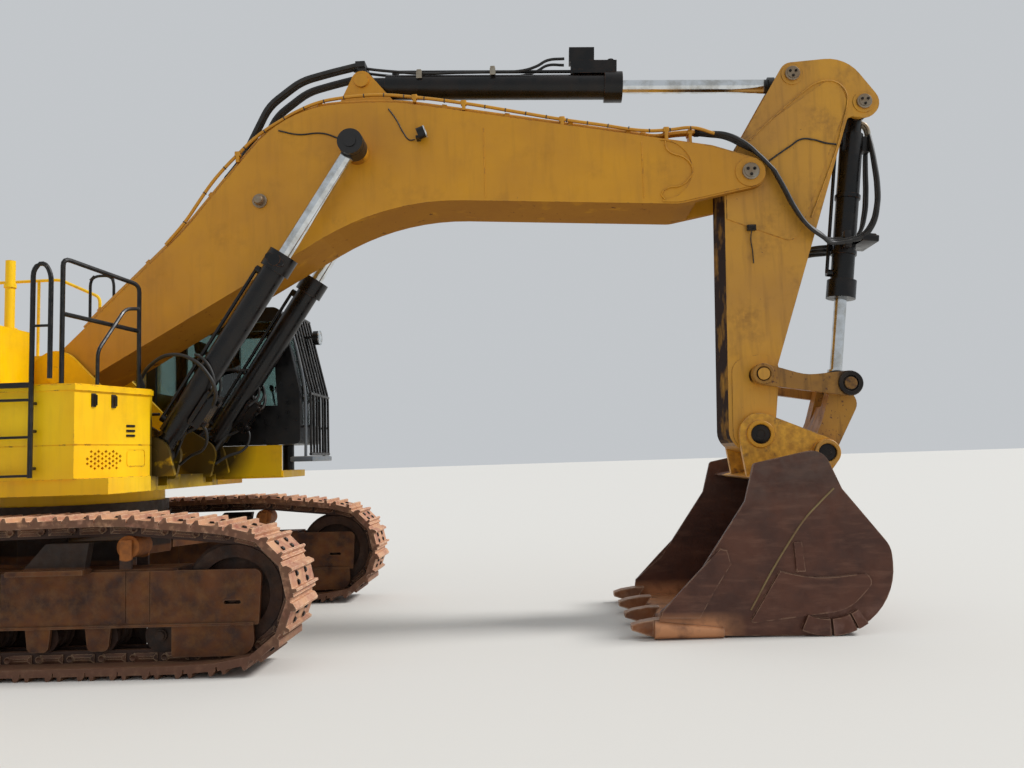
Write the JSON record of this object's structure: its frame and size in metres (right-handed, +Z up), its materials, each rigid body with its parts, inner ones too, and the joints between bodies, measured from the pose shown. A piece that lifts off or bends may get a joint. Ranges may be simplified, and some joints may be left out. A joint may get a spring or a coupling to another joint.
{
  "type": "crawler excavator",
  "caption": "Large crawler excavator on steel tracks with a slewing upper structure, side cab, one-piece boom, stick and digging bucket worked by hydraulic cylinders.",
  "frame": {"origin": "on the ground under the middle of the machine's bounding box, boom as in the picture", "axes": "+X forward towards the bucket, +Y to the operator's left, +Z up"},
  "size_m": [12.5142, 4.06, 6.0415],
  "materials": {
    "yellow": "weathered gloss enamel",
    "frame_rust": "rusted and dusty",
    "shoe_steel": "worn, with dried earth",
    "ring_steel": "greased steel",
    "engine_grey": "matt",
    "black_paint": "satin black, dusty",
    "chrome_rod": "hard chrome",
    "cab_glass": "tinted safety glass",
    "seat_fabric": "woven",
    "hose_rubber": "matt rubber",
    "bucket_steel": "scoured and rusted"
  },
  "bodies": {
    "undercarriage": {"carbody": "frame_rust", "track_frame_right": "frame_rust", "track_frame_left": "frame_rust", "track_right": "shoe_steel", "track_left": "shoe_steel", "idlers": "frame_rust", "sprockets": "frame_rust", "track_rollers": "frame_rust", "carrier_rollers": "frame_rust", "slew_ring": "ring_steel"},
    "upper": {"revolving_frame": "yellow", "counterweight": "yellow", "engine_block": "engine_grey", "engine_house": "yellow", "cooling_house": "yellow", "fuel_tank": "yellow", "tool_box": "yellow", "handrails": "black_paint", "standpipe": "yellow", "cab_shell": "black_paint", "cab_glass": "cab_glass", "cab_guard": "black_paint", "cab_seat": "seat_fabric", "cab_lamp": "black_paint"},
    "radiator_door": {"radiator_door": "yellow"},
    "pump_door": {"pump_door": "yellow"},
    "hood_lid": {"hood_lid": "yellow"},
    "cab_door": {"cab_door": "black_paint", "cab_door_glass": "cab_glass"},
    "boom": {"boom": "yellow", "lift_pin": "yellow", "boom_pipes": "yellow", "boom_hoses": "hose_rubber", "boom_lamp": "black_paint"},
    "lift_barrels": {"lift_cylinder_barrels": "black_paint"},
    "lift_rods": {"lift_cylinder_rods": "chrome_rod"},
    "stick_barrel": {"stick_cylinder_barrel": "black_paint"},
    "stick_rod": {"stick_cylinder_rod": "chrome_rod"},
    "stick": {"stick": "yellow"},
    "bucket_barrel": {"bucket_cylinder_barrel": "black_paint"},
    "bucket_rod": {"bucket_cylinder_rod": "chrome_rod"},
    "guide_links": {"guide_links": "yellow"},
    "power_link": {"power_link": "yellow"},
    "bucket": {"bucket": "bucket_steel", "bucket_teeth": "bucket_steel"}
  },
  "joints": [
    {"name": "slew", "type": "hinge", "parent": "undercarriage", "child": "upper", "pos_m": [-2.245, 0, 1.3], "axis": [0, 0, 1], "continuous": true},
    {"name": "boom_lift", "type": "hinge", "parent": "upper", "child": "boom", "pos_m": [-2.225, 0, 2.64], "axis": [0, -1, 0], "range_deg": [-52, 26]},
    {"name": "lift_barrel", "type": "hinge", "parent": "upper", "child": "lift_barrels", "pos_m": [-1.105, 0, 1.8], "axis": [0, -1, 0], "range_deg": [-60, 30]},
    {"name": "lift_rod", "type": "slide", "parent": "lift_barrels", "child": "lift_rods", "axis": [0.5458, 0, 0.8379], "range_m": [-1.25, 0.65]},
    {"name": "stick_crowd", "type": "hinge", "parent": "boom", "child": "stick", "pos_m": [4.875, 0, 4.47], "axis": [0, -1, 0], "range_deg": [-25, 82]},
    {"name": "stick_barrel_swing", "type": "hinge", "parent": "boom", "child": "stick_barrel", "pos_m": [0.885, 0, 5.72], "axis": [0, -1, 0], "range_deg": [-4, 4]},
    {"name": "stick_rod_slide", "type": "slide", "parent": "stick_barrel", "child": "stick_rod", "axis": [0.999, 0, -0.0444], "range_m": [-1.6, 0.6]},
    {"name": "bucket_curl", "type": "hinge", "parent": "stick", "child": "bucket", "pos_m": [4.835, 0, 1.82], "axis": [0, -1, 0], "range_deg": [-96, 70]},
    {"name": "guide_link", "type": "hinge", "parent": "stick", "child": "guide_links", "pos_m": [4.875, 0, 2.41], "axis": [0, -1, 0], "range_deg": [-75, 55]},
    {"name": "power_link", "type": "hinge", "parent": "guide_links", "child": "power_link", "pos_m": [5.715, 0, 2.29], "axis": [0, -1, 0], "range_deg": [-42, 60]},
    {"name": "bucket_barrel_swing", "type": "hinge", "parent": "stick", "child": "bucket_barrel", "pos_m": [6.095, 0, 5.19], "axis": [0, -1, 0], "range_deg": [-4, 4]},
    {"name": "bucket_rod_slide", "type": "slide", "parent": "bucket_barrel", "child": "bucket_rod", "axis": [-0.1299, 0, -0.9915], "range_m": [-0.7, 0.9]},
    {"name": "cab_door", "type": "hinge", "parent": "upper", "child": "cab_door", "pos_m": [-1.195, 1.718, 2.65], "axis": [0, 0, 1], "range_deg": [0, 160]},
    {"name": "radiator_door", "type": "hinge", "parent": "upper", "child": "radiator_door", "pos_m": [-5.195, 1.618, 2.3], "axis": [0, 0, 1], "range_deg": [0, 120]},
    {"name": "pump_door", "type": "hinge", "parent": "upper", "child": "pump_door", "pos_m": [-5.195, -1.618, 2.3], "axis": [0, 0, -1], "range_deg": [0, 120]},
    {"name": "hood_lid", "type": "hinge", "parent": "upper", "child": "hood_lid", "pos_m": [-4.995, 0, 3.068], "axis": [0, -1, 0], "range_deg": [0, 70]}
  ],
  "couplings": [
    {"joint": "lift_barrel", "follows": "boom_lift", "ratio": 1.08},
    {"joint": "lift_rod", "follows": "boom_lift", "m_per_rad": 1.28},
    {"joint": "stick_barrel_swing", "follows": "stick_crowd", "ratio": -0.02},
    {"joint": "stick_rod_slide", "follows": "stick_crowd", "m_per_rad": -0.99},
    {"joint": "guide_link", "follows": "bucket_curl", "ratio": 0.69},
    {"joint": "power_link", "follows": "bucket_curl", "ratio": -0.5},
    {"joint": "bucket_barrel_swing", "follows": "bucket_curl", "ratio": 0.02},
    {"joint": "bucket_rod_slide", "follows": "bucket_curl", "m_per_rad": -0.48}
  ]
}
